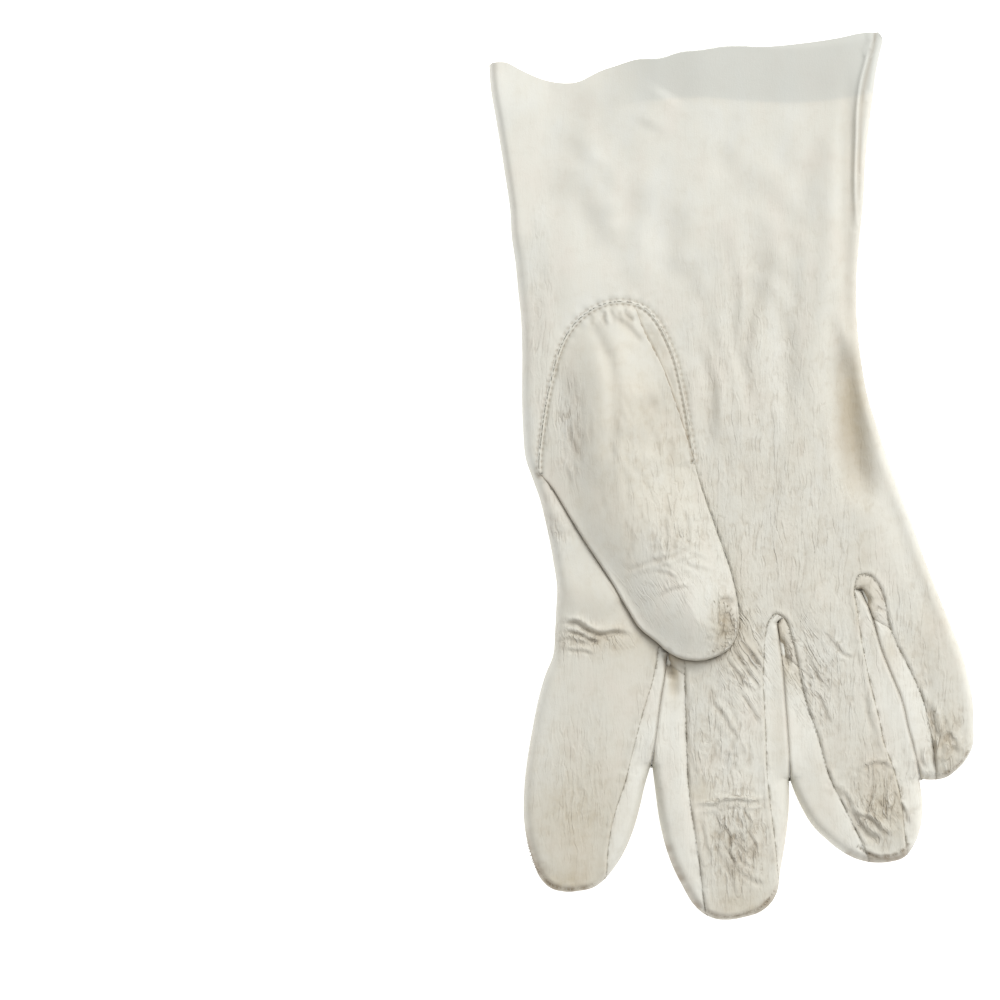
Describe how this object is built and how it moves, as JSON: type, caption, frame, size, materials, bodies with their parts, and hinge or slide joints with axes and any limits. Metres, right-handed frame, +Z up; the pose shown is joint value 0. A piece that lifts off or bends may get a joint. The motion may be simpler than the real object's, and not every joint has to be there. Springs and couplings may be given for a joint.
{
  "type": "kidskin glove",
  "caption": "Right-hand dress glove of thin kidskin lying palm up, open at a wide hemmed cuff, with a set-in thumb, side strips between the fingers and gussets at the forks.",
  "frame": {"origin": "on the floor, under the middle of the lying glove", "axes": "+Y from the fingertips to the cuff, +X to the little-finger side, +Z up out of the palm"},
  "size_m": [0.1234, 0.2258, 0.0214],
  "materials": {
    "palm_kid": "soft off-white kid, smooth side out, finely wrinkled, yellowed at the fingertips",
    "side_kid": "soft off-white kid, smooth side out",
    "gusset_kid": "soft off-white kid, puckered at its seams"
  },
  "bodies": {
    "root": {"trank": "palm_kid", "thumb": "palm_kid", "fourchette_index_middle": "side_kid", "fourchette_middle_ring": "side_kid", "fourchette_ring_little": "side_kid", "quirk_index_middle": "gusset_kid", "quirk_middle_ring": "gusset_kid", "quirk_ring_little": "gusset_kid"}
  },
  "joints": []
}
